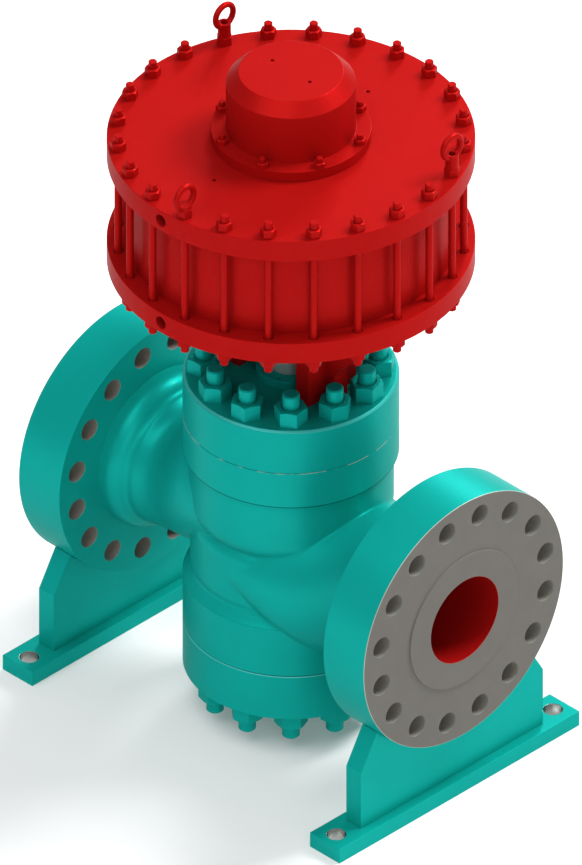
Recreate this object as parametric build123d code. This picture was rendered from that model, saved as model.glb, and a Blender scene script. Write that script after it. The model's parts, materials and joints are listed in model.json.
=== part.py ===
from build123d import *
from math import cos, radians, sin, sqrt, tan
import os

# Shut-off valve with a pneumatic piston actuator. Lengths are in millimetres.
# The pipe runs along X, the supports' bars along Y, and Z is up. Z = 0 is the ground under the supports,
# below the middle of the valve. The inlet is at -X and the outlet at +X.

# Line connection: a high-pressure flange of nominal size 200. The outlet's bolt holes are half a millimetre
# wider than the inlet's, within a drilled hole's tolerance, so that two opposite holes aren't one long bore.
axis_height = 405.0
face_to_face = 915.0
line_bore = 177.0
line_bore_straight = 165.0
flange_d = 525.0
flange_thickness = 107.0
raised_face_d = 285.0
raised_face_height = 3.0
line_bolt_circle = 440.0
line_bolt_count = 16
line_bolt_hole = 42.0
outlet_bolt_hole = 42.5
hub_d = 322.0
hub_length = 50.0
hub_rounding = 34.0
hub_foot_fillet = 12.0
neck_d = 274.0

# Cast body, with heights measured from the pipe axis
body_top = 246.0
top_flange_thickness = 78.0
body_bottom = 216.0
bottom_flange_thickness = 104.0
closure_d = 404.0
upper_bowl_d = 384.0
upper_bowl_low = 22.0
upper_bowl_rounding = 45.0
lower_bowl_d = 376.0
lower_bowl_top = 38.0
lower_bowl_rounding = 30.0
lower_bowl_foot_rounding = 42.0
bowl_overlap = 3.0
closure_bore = 250.0
bridge_top = 50.0
bridge_bottom = 8.0
bridge_bore = 208.0
upper_chamber_d = 304.0
upper_chamber_top = 145.0
lower_chamber_d = 290.0
lower_chamber_low = 88.0


# The cast flares between hubs and bowls, and the waterways inside them. Each row is an oval section: its share
# of the way from the middle to the hub, its half width, its half height and its rise above the pipe axis.
inlet_flare = [(0.8, 133.0, 131.0, 3.0), (0.622, 152.0, 150.0, 33.0), (0.403, 172.0, 145.0, 55.0)]
outlet_flare = [(0.807, 133.0, 131.0, -10.0), (0.622, 152.0, 150.0, -40.0), (0.403, 176.0, 148.0, -44.0)]
inlet_waterway = [(0.74, 92.0, 84.0, 14.0)]
outlet_waterway = [(0.74, 92.0, 84.0, -11.0)]
upper_port_width = 236.0
lower_port_width = 224.0
port_inset = 2.0
neck_length = 12.0
bowl_inset = 0.3
flare_end_height = 200.0
upper_flare_rise = 75.0
lower_flare_drop = 40.0

# Closures: the bonnet above and the cover below
bonnet_thickness = 96.0
cover_thickness = 97.0
closure_edge_chamfer = 5.0
closure_joint_chamfer = 1.5
cover_spigot_height = 60.0
cover_spigot_chamfer = 3.0
closure_bolt_circle = 326.0
closure_bolt_count = 12
closure_stud_d = 33.0
closure_stud_hole = 36.0
closure_stud_depth = 60.0
closure_nut_flats = 55.0
closure_nut_height = 33.0
bonnet_stud_stand = 61.0
cover_stud_stand = 62.0
bonnet_nut_turn = 50.4
cover_nut_turn = 4.5
closure_gasket_d = 284.0
closure_gasket_width = 13.0
closure_gasket_thickness = 4.0

# Trim: seat, cage, plug and stem
seat_bore = 156.0
seat_flange_height = 20.0
seat_gasket_thickness = 2.0
seat_gasket_width = 14.0
cage_d = 242.0
cage_bore = 186.0
cage_collar_height = 92.0
cage_window_count = 6
cage_window_width = 56.0
cage_window_height = 58.0
cage_window_low = 14.0
cage_window_rounding = 11.0
cage_gasket_thickness = 2.0
plug_height = 76.0
plug_web = 44.0
plug_cup_d = 144.0
plug_nose = 10.0
plug_boss_bore = 60.0
plug_nut_flats = 85.0
plug_nut_height = 28.0
plug_seal_height = 8.0
plug_seal_depth = 7.0
balance_hole_d = 14.0
balance_hole_count = 6
stem_d = 82.0
stroke = 100.0

# Stuffing box in the bonnet
throat_height = 14.0
throat_gap = 3.0
stem_bush_height = 26.0
stem_bush_wall = 9.0
packing_count = 5
packing_height = 8.6
gland_d = 132.0
gland_height = 17.0
gland_edge_chamfer = 1.0
gland_bolt_circle = 113.0
gland_bolt_count = 8
gland_screw_d = 8.0
gland_screw_head_d = 13.0
gland_screw_head = 8.0
gland_screw_length = 28.0
gland_socket_flats = 6.0
gland_socket_depth = 4.0

# Yoke
yoke_gap = 256.0
yoke_leg_thickness = 35.0
yoke_leg_width = 125.0
yoke_opening = 150.0
yoke_rib_depth = 22.0
yoke_rib_bend = 30.0
yoke_rib_reach = 190.0

# Stem coupling
coupling_d = 128.0
coupling_length = 78.0
coupling_stand = 58.0
coupling_split = 2.0
coupling_groove = 10.0
coupling_groove_depth = 7.0
coupling_screw_d = 12.0
coupling_screw_head_d = 18.0
coupling_screw_head = 12.0
coupling_screw_spread = 96.0
coupling_screw_seat = 25.6
coupling_screw_reach = 32.0

# Actuator
actuator_plate = 45.0
cylinder_d = 614.0
cylinder_wall = 12.0
cylinder_length = 187.5
cylinder_spigot = 6.0
cylinder_seal_size = 3.0
tie_rod_count = 24
tie_rod_gap = 17.5
tie_rod_d = 16.0
tie_rod_shank_d = 14.2
tie_rod_hole = 18.0
tie_rod_stand = 31.0
tie_nut_flats = 27.0
tie_nut_height = 17.0
tie_nut_turn = 7.5
plate_margin = 19.0
air_port_d = 25.0
air_port_depth = 78.0
air_drilling_d = 12.0
vent_hole_d = 7.5
vent_hole_circle = 404.0
vent_hole_depth = 14.0
actuator_rod_d = 64.0
rod_bush_wall = 9.0
rod_seal_height = 10.0
rod_seal_width = 7.0
piston_thickness = 55.0
piston_cushion = 12.0
piston_rod_end_d = 48.0
piston_seal_rise = 13.8
piston_seal_height = 8.0
piston_seal_depth = 8.0
piston_ring_rise = 34.4
piston_ring_height = 10.0
piston_nut_flats = 72.0
piston_nut_height = 36.0

# Cap over the return spring
cap_flange_d = 300.0
cap_flange_thickness = 21.5
cap_d = 243.0
cap_wall = 12.0
cap_height = 147.5
cap_top_d = 196.0
cap_bolt_circle = 278.0
cap_bolt_count = 8
cap_stud_d = 12.0
cap_stud_stand = 20.0
cap_stud_depth = 20.0
cap_nut_flats = 21.0
cap_nut_height = 10.8
cap_hole_spacing = 98.0
cap_hole_d = 7.5
cap_hole_depth = 7.0
spring_wire = 18.0
spring_d = 196.0
spring_turns = 6
spring_end_height = 11.0
spring_end_proud = 0.5

# Lifting eyes on three of the tie rods
eye_ring_radius = 22.9
eye_ring_section = 5.8
eye_neck_d = 25.0
eye_neck_height = 47.0
eye_tall_centre = 61.8
eye_short_centre = 40.8
eye_hole_d = 13.6
eye_hole_depth = 14.0
eye_hole_floor = 2.0

# Supports under the line flanges
support_offset = 404.5
foot_width = 78.6
foot_length = 632.0
foot_thickness = 32.4
foot_hole_d = 36.5
foot_hole_spacing = 570.0
saddle_thickness = 39.3
saddle_width = 480.0
saddle_side_height = 124.0
saddle_slope = 60.0

# Clearances between pieces, how far a thread stands out of its nut inside, and how far a cutting form
# runs on past a face
fit_gap = 0.3
running_gap = 0.3
spring_clearance = 2.0
thread_end = 6.0
past = 1.0

# Heights and places that follow from the driving dimensions
pipe_radius = line_bore / 2
tie_rod_circle = cylinder_d + 2 * tie_rod_gap
actuator_d = tie_rod_circle + 2 * plate_margin
rim_front = face_to_face / 2 - raised_face_height
rim_back = rim_front - flange_thickness
hub_end = rim_back - hub_length
body_top_z = axis_height + body_top
body_bottom_z = axis_height - body_bottom
top_flange_z = body_top_z - top_flange_thickness
bottom_flange_z = body_bottom_z + bottom_flange_thickness
bonnet_top_z = body_top_z + bonnet_thickness
cover_bottom_z = body_bottom_z - cover_thickness
bridge_top_z = axis_height + bridge_top
seat_z = bridge_top_z + seat_gasket_thickness
seat_top_z = seat_z + seat_flange_height
cage_top_z = body_top_z - cage_gasket_thickness
plug_top_z = seat_top_z + plug_height - plug_nose
plug_radius = cage_bore / 2 - running_gap
stem_radius = stem_d / 2
box_radius = stem_radius + stem_bush_wall
bush_z = body_top_z + throat_height
packing_z = bush_z + stem_bush_height
packing_top_z = packing_z + packing_count * packing_height
gland_top_z = bonnet_top_z + gland_height
actuator_z = bonnet_top_z + yoke_gap
cylinder_z = actuator_z + actuator_plate
cylinder_top_z = cylinder_z + cylinder_length
actuator_top_z = cylinder_top_z + actuator_plate
lower_seal_z = cylinder_z + (cylinder_spigot - cylinder_seal_size) / 2
upper_seal_z = cylinder_top_z - (cylinder_spigot + cylinder_seal_size) / 2
cylinder_bore_radius = cylinder_d / 2 - cylinder_wall
coupling_z = bonnet_top_z + coupling_stand
coupling_middle_z = coupling_z + coupling_length / 2
piston_z = cylinder_z + cylinder_spigot + piston_cushion
piston_top_z = piston_z + piston_thickness
cap_top_z = actuator_top_z + cap_height
rod_radius = actuator_rod_d / 2
thread_gap = fit_gap

middle = (Align.CENTER, Align.CENTER, Align.MIN)


def rod(radius, low, high, x=0.0, y=0.0):
    """Upright cylinder between two heights."""
    return Pos(x, y, low) * Cylinder(radius, high - low, align=middle)


def ring(outer, inner, low, high):
    """Upright tube between two heights."""
    return rod(outer, low, high) - rod(inner, low - past, high + past)


def rod_x(radius, start, end, y=0.0, z=axis_height):
    """Cylinder along X, with its seam on top."""
    low, high = sorted((start, end))
    plane = Plane(origin=(low, y, z), x_dir=(0, 0, 1), z_dir=(1, 0, 0))
    return extrude(plane * Circle(radius), high - low)


def rod_y(radius, start, end, x=0.0, z=0.0):
    """Cylinder along Y."""
    plane = Plane(origin=(x, start, z), x_dir=(1, 0, 0), z_dir=(0, 1, 0))
    return extrude(plane * Circle(radius), end - start)


def on_circle(diameter, count, first=0.5):
    """Places of a bolt circle about Z, the first one a share of a step from +X."""
    for i in range(count):
        angle = 360.0 * (i + first) / count
        yield angle, diameter / 2 * cos(radians(angle)), diameter / 2 * sin(radians(angle))


def hexagon(flats, low, high, turn, x=0.0, y=0.0):
    """Upright hexagonal prism with a flat facing the angle turn."""
    outline = RegularPolygon(flats / 2, 6, major_radius=False, rotation=30)
    return extrude(Pos(x, y, low) * Rot(0, 0, turn) * outline, high - low)


def write(name, *solids):
    """One STEP file for a node, from one solid or from a group of separate ones."""
    pieces = [piece for solid in solids for piece in solid.solids()]
    export_step(Compound(pieces) if len(pieces) > 1 else pieces[0], f"parts/{name}.step")


def passage(form, side, far, near):
    """Loft through oval sections towards the inlet (side -1) or the outlet (side 1).

    far and near are its end sections, and the form's own sections lie between them, each at its share of
    the way from the middle of the valve to the hub. A section is a distance, half width, half height and rise.
    """
    faces = []
    sections = [far] + [(share * hub_end, *section) for share, *section in form] + [near]
    for distance, half_width, half_height, rise in sections:
        place = (side * distance, 0, axis_height + rise)
        plane = Plane(origin=place, x_dir=(0, 1, 0), z_dir=(1, 0, 0))
        faces.append(plane * Ellipse(half_width, half_height))
    return loft(faces)


def outer_passages():
    """Both flares of the casting, from inside the hubs into the bowls."""
    neck = (hub_end - neck_length, neck_d / 2, neck_d / 2, 0.0)
    upper = (0.0, upper_bowl_d / 2 - bowl_inset, flare_end_height / 2, upper_flare_rise)
    lower = (0.0, lower_bowl_d / 2 - bowl_inset, flare_end_height / 2, -lower_flare_drop)
    return passage(inlet_flare, -1, neck, upper), passage(outlet_flare, 1, neck, lower)


def port(chamber_d, width, low, high):
    """End section of a waterway, just inside the round wall of its chamber."""
    distance = sqrt((chamber_d / 2) ** 2 - (width / 2) ** 2) - port_inset
    return distance, width / 2, (high - low) / 2 - port_inset, (high + low) / 2


def inner_passages():
    """Both waterways, from the straight bores into the chambers."""
    pipe = (face_to_face / 2 - line_bore_straight, pipe_radius, pipe_radius, 0.0)
    upper = port(upper_chamber_d, upper_port_width, bridge_top, upper_chamber_top)
    lower = port(lower_chamber_d, lower_port_width, -lower_chamber_low, bridge_bottom)
    return passage(inlet_waterway, -1, pipe, upper), passage(outlet_waterway, 1, pipe, lower)


def hub(side):
    """Turned form of a hub: a rounded shoulder, a cast fillet at its foot and the start of the neck."""
    corners = [(rim_back, 0), (rim_back, hub_d / 2), (hub_end, hub_d / 2), (hub_end, 0)]
    block = make_face(Polyline(*corners, close=True))
    block = fillet(block.vertices().sort_by_distance((hub_end, hub_d / 2))[0], hub_rounding)
    neck_end = hub_end - neck_length
    corners = [(neck_end, 0), (neck_end, neck_d / 2), (rim_back, neck_d / 2), (rim_back, 0)]
    profile = block + make_face(Polyline(*corners, close=True))
    foot = profile.vertices().sort_by_distance((hub_end, neck_d / 2))[0]
    upright = Plane(origin=(0, 0, axis_height), x_dir=(1, 0, 0), z_dir=(0, -1, 0))
    turned = revolve(upright * fillet(foot, hub_foot_fillet), Axis((0, 0, axis_height), (1, 0, 0)))
    return turned if side > 0 else turned.mirror(Plane.YZ)


def body_blank():
    """Outer form of the casting, before any hole is cut."""
    inlet, outlet = outer_passages()
    upper = rod(upper_bowl_d / 2, axis_height + upper_bowl_low, top_flange_z)
    upper = fillet(upper.edges().group_by(Axis.Z)[0], upper_bowl_rounding)
    lower = rod(lower_bowl_d / 2, bottom_flange_z - bowl_overlap, axis_height + lower_bowl_top)
    lower = fillet(lower.edges().group_by(Axis.Z)[-1], lower_bowl_rounding)
    lower = fillet(lower.edges().group_by(Axis.Z)[0], lower_bowl_foot_rounding)
    blank = upper + lower + (hub(-1) + inlet) + (hub(1) + outlet)
    blank += rod(closure_d / 2, top_flange_z, body_top_z)
    blank += rod(closure_d / 2, body_bottom_z, bottom_flange_z)
    for side in (-1, 1):
        blank += rod_x(flange_d / 2, side * rim_back, side * rim_front)
        blank += rod_x(raised_face_d / 2, side * rim_front, side * face_to_face / 2)
    return blank


def valve_body():
    """Casting with its bores, chambers, bridge and bolt holes."""
    body = body_blank()
    body -= ring_chambers()
    inlet, outlet = inner_passages()
    body = body - inlet - outlet
    bore_end = face_to_face / 2 - line_bore_straight
    for side, hole_d in ((-1, line_bolt_hole), (1, outlet_bolt_hole)):
        body -= rod_x(pipe_radius, side * bore_end, side * (face_to_face / 2 + past))
        for angle, y, z in on_circle(line_bolt_circle, line_bolt_count):
            body -= rod_x(hole_d / 2, side * (rim_back - past), side * (rim_front + past), y, axis_height + z)
    hole_radius = closure_stud_d / 2 + thread_gap
    for angle, x, y in on_circle(closure_bolt_circle, closure_bolt_count):
        body -= rod(hole_radius, body_top_z - closure_stud_depth, body_top_z + past, x, y)
        body -= rod(hole_radius, body_bottom_z - past, body_bottom_z + closure_stud_depth, x, y)
    return body


def ring_chambers():
    """Round spaces about the stem axis: both closure bores, both chambers and the bridge bore."""
    upper = rod(upper_chamber_d / 2, bridge_top_z, axis_height + upper_chamber_top)
    lower = rod(lower_chamber_d / 2, axis_height - lower_chamber_low, axis_height + bridge_bottom)
    spaces = upper + rod(closure_bore / 2, bridge_top_z, body_top_z + past)
    spaces += lower + rod(closure_bore / 2, body_bottom_z - past, axis_height + bridge_bottom)
    spaces += rod(bridge_bore / 2, axis_height, bridge_top_z + past)
    outer = closure_gasket_d / 2 + fit_gap
    inner = outer - closure_gasket_width - 2 * fit_gap
    spaces += ring(outer, inner, body_top_z - closure_gasket_thickness, body_top_z + past)
    spaces += ring(outer, inner, body_bottom_z - past, body_bottom_z + closure_gasket_thickness)
    return spaces


def gasket(low):
    outer = closure_gasket_d / 2
    return ring(outer, outer - closure_gasket_width, low, low + closure_gasket_thickness)


def bonnet():
    """Blind flange above, with the stuffing box and the tapped holes for the gland."""
    blank = rod(closure_d / 2, body_top_z, bonnet_top_z)
    blank = chamfer(blank.edges().group_by(Axis.Z)[-1], closure_edge_chamfer)
    blank = chamfer(blank.edges().group_by(Axis.Z)[0], closure_joint_chamfer)
    blank -= rod(stem_radius + throat_gap, body_top_z - past, bush_z + past)
    blank -= rod(box_radius + fit_gap, bush_z, bonnet_top_z + past)
    for angle, x, y in on_circle(closure_bolt_circle, closure_bolt_count):
        blank -= rod(closure_stud_hole / 2, body_top_z - past, bonnet_top_z + past, x, y)
    tapped = gland_screw_length - (gland_height - gland_screw_head)
    for angle, x, y in on_circle(gland_bolt_circle, gland_bolt_count):
        blank -= rod(gland_screw_d / 2 + thread_gap, bonnet_top_z - tapped, bonnet_top_z + past, x, y)
    return blank


def bottom_cover():
    """Blind flange below, with a spigot in the body's bottom bore."""
    blank = rod(closure_d / 2, cover_bottom_z, body_bottom_z)
    blank = chamfer(blank.edges().group_by(Axis.Z)[-1], closure_joint_chamfer)
    spigot = rod(closure_bore / 2 - fit_gap, body_bottom_z, body_bottom_z + cover_spigot_height)
    blank += chamfer(spigot.edges().group_by(Axis.Z)[-1], cover_spigot_chamfer)
    for angle, x, y in on_circle(closure_bolt_circle, closure_bolt_count):
        blank -= rod(closure_stud_hole / 2, cover_bottom_z - past, body_bottom_z + past, x, y)
    return blank


def studs(low, high):
    for angle, x, y in on_circle(closure_bolt_circle, closure_bolt_count):
        yield rod(closure_stud_d / 2, low, high, x, y)


def closure_nuts(low, turn):
    for angle, x, y in on_circle(closure_bolt_circle, closure_bolt_count):
        nut = hexagon(closure_nut_flats, low, low + closure_nut_height, angle + turn, x, y)
        yield nut - rod(closure_stud_d / 2 + thread_gap, low - past, low + closure_nut_height + past, x, y)


def seat_gasket():
    outer = closure_bore / 2 - fit_gap
    return ring(outer, outer - seat_gasket_width, bridge_top_z, seat_z)


def seat_ring():
    """Flanged ring clamped on the bridge, with a cone where the plug shuts."""
    outer = closure_bore / 2 - fit_gap
    blank = rod(outer, seat_z, seat_top_z)
    blank += rod(bridge_bore / 2 - fit_gap, axis_height + bridge_bottom, seat_z)
    blank -= rod(seat_bore / 2, axis_height, seat_top_z + past)
    depth = plug_nose
    cone = Pos(0, 0, seat_top_z - depth) * Cone(seat_bore / 2, seat_bore / 2 + depth, depth, align=middle)
    return blank - cone


def cage():
    """Guide for the plug, with windows that the plug uncovers."""
    blank = ring(cage_d / 2, cage_bore / 2, seat_top_z, cage_top_z)
    outer = closure_bore / 2 - fit_gap
    blank += ring(outer, cage_bore / 2, cage_top_z - cage_collar_height, cage_top_z)
    window = RectangleRounded(cage_window_width, cage_window_height, cage_window_rounding)
    height = seat_top_z + cage_window_low + cage_window_height / 2
    for i in range(cage_window_count):
        plane = Plane.XZ.rotated((0, 0, 360.0 * i / cage_window_count))
        blank -= extrude(Pos(0, 0, height) * plane * window, closure_bore)
    return blank


def cage_gasket():
    return ring(closure_bore / 2 - fit_gap, cage_bore / 2, cage_top_z, body_top_z)


def plug():
    """Balanced plug: a cup with a seating cone below and a ring groove above."""
    nose_radius = seat_bore / 2 - running_gap
    low = seat_top_z - plug_nose + running_gap
    blank = rod(plug_radius, low, plug_top_z)
    taper = plug_nose
    cone = Pos(0, 0, low) * Cone(nose_radius, nose_radius + taper, taper, align=middle)
    blank -= rod(plug_radius + past, low - past, low + taper) - cone
    web_top = plug_top_z - (plug_height - plug_web)
    blank -= rod(plug_cup_d / 2, web_top, plug_top_z + past)
    blank -= rod(plug_boss_bore / 2 + fit_gap, low - past, web_top + past)
    balance_circle = (stem_d + plug_cup_d) / 2
    for angle, x, y in on_circle(balance_circle, balance_hole_count):
        blank -= rod(balance_hole_d / 2, low - past, web_top + past, x, y)
    groove = plug_top_z - 2 * plug_seal_height
    blank -= ring(plug_radius + past, plug_radius - plug_seal_depth, groove, groove + plug_seal_height)
    return blank


def plug_seal():
    low = plug_top_z - 2 * plug_seal_height
    outer = plug_radius
    return ring(outer, outer - plug_seal_depth, low, low + plug_seal_height)


def plug_nut():
    top = seat_top_z - plug_nose + running_gap
    nut = hexagon(plug_nut_flats, top - plug_nut_height, top, 0)
    return nut - rod(plug_boss_bore / 2 + thread_gap, top - plug_nut_height - past, top + past)


def valve_stem():
    """Polished stem with a turned end in the plug and a groove for the coupling."""
    web_top = plug_top_z - (plug_height - plug_web)
    low = seat_top_z - plug_nose - plug_nut_height - thread_end
    blank = rod(stem_radius, web_top, coupling_middle_z - coupling_split / 2)
    blank += rod(plug_boss_bore / 2, low, web_top)
    groove = coupling_middle_z - coupling_length / 4 - coupling_groove / 2
    root = stem_radius - coupling_groove_depth
    return blank - ring(stem_radius + past, root, groove, groove + coupling_groove)


def stem_bush():
    return ring(box_radius, stem_radius + running_gap, bush_z, packing_z)


def packing_rings():
    for i in range(packing_count):
        low = packing_z + i * packing_height
        yield ring(box_radius, stem_radius + running_gap, low, low + packing_height)


def gland_ring():
    """Ring with a spigot that presses on the packing, and flush socket screws."""
    bore = stem_radius + running_gap
    blank = rod(gland_d / 2, bonnet_top_z, gland_top_z)
    blank = chamfer(blank.edges().group_by(Axis.Z)[-1], gland_edge_chamfer)
    blank += rod(box_radius, packing_top_z, bonnet_top_z)
    blank -= rod(bore, packing_top_z - past, gland_top_z + past)
    head_z = gland_top_z - gland_screw_head
    for angle, x, y in on_circle(gland_bolt_circle, gland_bolt_count):
        blank -= rod(gland_screw_d / 2 + thread_gap, bonnet_top_z - past, gland_top_z + past, x, y)
        blank -= rod(gland_screw_head_d / 2 + fit_gap, head_z, gland_top_z + past, x, y)
    return blank


def gland_screws():
    head_z = gland_top_z - gland_screw_head
    socket_z = gland_top_z - gland_socket_depth
    for angle, x, y in on_circle(gland_bolt_circle, gland_bolt_count):
        screw = rod(gland_screw_head_d / 2, head_z, gland_top_z, x, y)
        screw += rod(gland_screw_d / 2, head_z - gland_screw_length, head_z, x, y)
        yield screw - hexagon(gland_socket_flats, socket_z, gland_top_z + past, angle, x, y)


def yoke_leg(side):
    """T-section leg: a plate across the pipe with a rib that spreads out under the actuator."""
    inner = yoke_opening / 2
    outer = inner + yoke_leg_thickness
    plate = Pos(side * (inner + outer) / 2, 0, bonnet_top_z) * Box(
        yoke_leg_thickness, yoke_leg_width, yoke_gap, align=middle
    )
    rib_x = outer + yoke_rib_depth
    reach = rib_x + yoke_rib_reach
    bend_z = actuator_z - yoke_rib_reach
    points = [(outer, bonnet_top_z), (rib_x, bonnet_top_z), (rib_x, bend_z),
              (reach, actuator_z), (outer, actuator_z)]
    outline = Plane.XZ * make_face(Polyline(*[(side * x, z) for x, z in points], close=True))
    rib = extrude(outline, yoke_leg_thickness / 2, both=True)
    bend = rib.edges().filter_by(Axis.Y).sort_by_distance((side * rib_x, 0, bend_z))[0]
    return plate + fillet(bend, yoke_rib_bend)


def coupling_half(side):
    """Half of the split coupling that joins the stem to the actuator's rod."""
    top = coupling_z + coupling_length
    blank = rod(coupling_d / 2, coupling_z, top)
    blank -= rod(stem_radius + fit_gap, coupling_z - past, coupling_middle_z)
    blank -= rod(rod_radius + fit_gap, coupling_middle_z - past, top + past)
    height = coupling_groove - 2 * fit_gap
    for centre, radius in ((-1, stem_radius), (1, rod_radius)):
        low = coupling_middle_z + centre * coupling_length / 4 - height / 2
        blank += ring(radius + past, radius - coupling_groove_depth + fit_gap, low, low + height)
    for x in (-1, 1):
        for z in (-1, 1):
            place = (x * coupling_screw_spread / 2, coupling_middle_z + z * coupling_length / 4)
            blank -= rod_y(coupling_screw_d / 2 + fit_gap, -coupling_d, coupling_d, *place)
            blank -= rod_y(coupling_screw_head_d / 2 + fit_gap, -coupling_d, -coupling_screw_seat, *place)
    keep = Pos(0, side * (coupling_split / 2 + coupling_d / 2), coupling_middle_z)
    return blank & keep * Box(2 * coupling_d, coupling_d, 2 * coupling_length)


def coupling_screws():
    head = -coupling_screw_seat
    for x in (-1, 1):
        for z in (-1, 1):
            place = (x * coupling_screw_spread / 2, coupling_middle_z + z * coupling_length / 4)
            screw = rod_y(coupling_screw_head_d / 2, head - coupling_screw_head, head, *place)
            yield screw + rod_y(coupling_screw_d / 2, head, coupling_screw_reach, *place)


def actuator_rod():
    """Rod from the coupling to the piston, with a groove below and a turned end above."""
    top = piston_top_z + piston_nut_height + thread_end
    blank = rod(rod_radius, coupling_middle_z + coupling_split / 2, piston_z)
    blank += rod(piston_rod_end_d / 2, piston_z, top)
    groove = coupling_middle_z + coupling_length / 4 - coupling_groove / 2
    root = rod_radius - coupling_groove_depth
    return blank - ring(rod_radius + past, root, groove, groove + coupling_groove)


def actuator_plate_blank(low):
    """Round end plate with the tie rods' holes and an air port in its rim."""
    plate = rod(actuator_d / 2, low, low + actuator_plate)
    for angle, x, y in on_circle(tie_rod_circle, tie_rod_count):
        plate -= rod(tie_rod_hole / 2, low - past, low + actuator_plate + past, x, y)
    port_end = -actuator_d / 2 + air_port_depth
    plate -= rod_y(air_port_d / 2, -actuator_d / 2 - past, port_end, 0, low + actuator_plate / 2)
    return plate


def air_drilling(low, high):
    """Drilling between an air port and the cylinder."""
    return rod(air_drilling_d / 2, low, high, 0, -actuator_d / 2 + air_port_depth - air_drilling_d / 2 - past)


def seal_groove(low):
    """Groove for a cylinder seal in a plate's spigot."""
    outer = cylinder_bore_radius - fit_gap
    return ring(outer + past, outer - cylinder_seal_size, low, low + cylinder_seal_size)


def actuator_bottom_plate():
    plate = actuator_plate_blank(actuator_z)
    plate += rod(cylinder_bore_radius - fit_gap, cylinder_z, cylinder_z + cylinder_spigot)
    plate -= seal_groove(lower_seal_z)
    plate -= air_drilling(actuator_z + actuator_plate / 2, cylinder_z + cylinder_spigot + past)
    plate -= rod(rod_radius + rod_bush_wall, actuator_z - past, cylinder_z - rod_seal_height)
    plate -= rod(rod_radius + rod_seal_width, actuator_z, cylinder_z)
    return plate - rod(rod_radius + running_gap, actuator_z, cylinder_z + cylinder_spigot + past)


def actuator_top_plate():
    plate = actuator_plate_blank(cylinder_top_z)
    plate += rod(cylinder_bore_radius - fit_gap, cylinder_top_z - cylinder_spigot, cylinder_top_z)
    plate -= seal_groove(upper_seal_z)
    plate -= air_drilling(cylinder_top_z - cylinder_spigot - past, cylinder_top_z + actuator_plate / 2)
    plate -= rod(cap_d / 2 - cap_wall, cylinder_top_z - cylinder_spigot - past, actuator_top_z + past)
    for side in (-1, 1):
        plate -= rod(vent_hole_d / 2, actuator_top_z - vent_hole_depth, actuator_top_z + past, 0,
                     side * vent_hole_circle / 2)
    stud_z = actuator_top_z - cap_stud_depth
    for angle, x, y in on_circle(cap_bolt_circle, cap_bolt_count):
        plate -= rod(cap_stud_d / 2 + thread_gap, stud_z, actuator_top_z + past, x, y)
    return plate


def cylinder_seal(low):
    outer = cylinder_bore_radius
    return ring(outer, outer - fit_gap - cylinder_seal_size, low, low + cylinder_seal_size)


def tie_rods():
    for i, (angle, x, y) in enumerate(on_circle(tie_rod_circle, tie_rod_count)):
        stand = tie_nut_height if i in eye_rods else tie_rod_stand
        shank = rod(tie_rod_shank_d / 2, cylinder_z, cylinder_top_z, x, y)
        shank += rod(tie_rod_d / 2, actuator_z - tie_rod_stand, cylinder_z, x, y)
        yield shank + rod(tie_rod_d / 2, cylinder_top_z, actuator_top_z + stand, x, y)


def tie_nut(low, angle, x, y):
    nut = hexagon(tie_nut_flats, low, low + tie_nut_height, angle + tie_nut_turn, x, y)
    return nut - rod(tie_rod_d / 2 + thread_gap, low - past, low + tie_nut_height + past, x, y)


# Tie rods that carry a lifting eye in place of a nut, by their number from +X, and each eye's height
eye_rods = {1: eye_tall_centre, 10: eye_tall_centre, 18: eye_short_centre}


def upper_tie_nuts():
    for i, place in enumerate(on_circle(tie_rod_circle, tie_rod_count)):
        if i not in eye_rods:
            yield tie_nut(actuator_top_z, *place)


def lower_tie_nuts():
    for place in on_circle(tie_rod_circle, tie_rod_count):
        yield tie_nut(actuator_z - tie_nut_height, *place)


def lifting_eye(number):
    """Eye nut: a ring on a neck above a hexagonal base, screwed on a tie rod."""
    angle, x, y = list(on_circle(tie_rod_circle, tie_rod_count))[number]
    centre = eye_rods[number]
    base_z = actuator_top_z + tie_nut_height
    neck_z = actuator_top_z + centre - eye_tall_centre + eye_neck_height
    eye = hexagon(tie_nut_flats, actuator_top_z, base_z, angle + tie_nut_turn, x, y)
    eye += rod(eye_neck_d / 2, base_z - past, neck_z, x, y)
    loop = Torus(eye_ring_radius, eye_ring_section)
    eye += Pos(x, y, actuator_top_z + centre) * Rot(0, 90, 0) * loop
    if neck_z - eye_hole_depth > base_z + eye_hole_floor:
        eye -= rod(eye_hole_d / 2, neck_z - eye_hole_depth, neck_z + eye_hole_depth, x, y)
    eye -= rod(tie_rod_d / 2 + thread_gap, actuator_top_z - past, base_z + thread_gap, x, y)
    return eye


def rod_bush():
    bore = rod_radius + running_gap
    return ring(rod_radius + rod_bush_wall, bore, actuator_z, cylinder_z - rod_seal_height)


def rod_seal():
    bore = rod_radius + running_gap
    return ring(rod_radius + rod_seal_width, bore, cylinder_z - rod_seal_height, cylinder_z)


def cylinder():
    return ring(cylinder_d / 2, cylinder_bore_radius, cylinder_z, cylinder_top_z)


def piston():
    """Disc with a seal groove and a guide ring groove in its rim."""
    radius = cylinder_bore_radius - running_gap
    blank = rod(radius, piston_z, piston_top_z)
    blank -= rod(piston_rod_end_d / 2 + fit_gap, piston_z - past, piston_top_z + past)
    seal_z = piston_z + piston_seal_rise
    guide_z = piston_z + piston_ring_rise
    blank -= ring(radius + past, radius - piston_seal_depth, seal_z, seal_z + piston_seal_height)
    return blank - ring(radius + past, radius - piston_seal_depth, guide_z, guide_z + piston_ring_height)


def piston_rim_ring(low, height):
    radius = cylinder_bore_radius - running_gap
    return ring(radius, radius - piston_seal_depth, low, low + height)


def piston_nut():
    top = piston_top_z + piston_nut_height
    nut = hexagon(piston_nut_flats, piston_top_z, top, 0)
    return nut - rod(piston_rod_end_d / 2 + thread_gap, piston_top_z - past, top + past)


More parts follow.
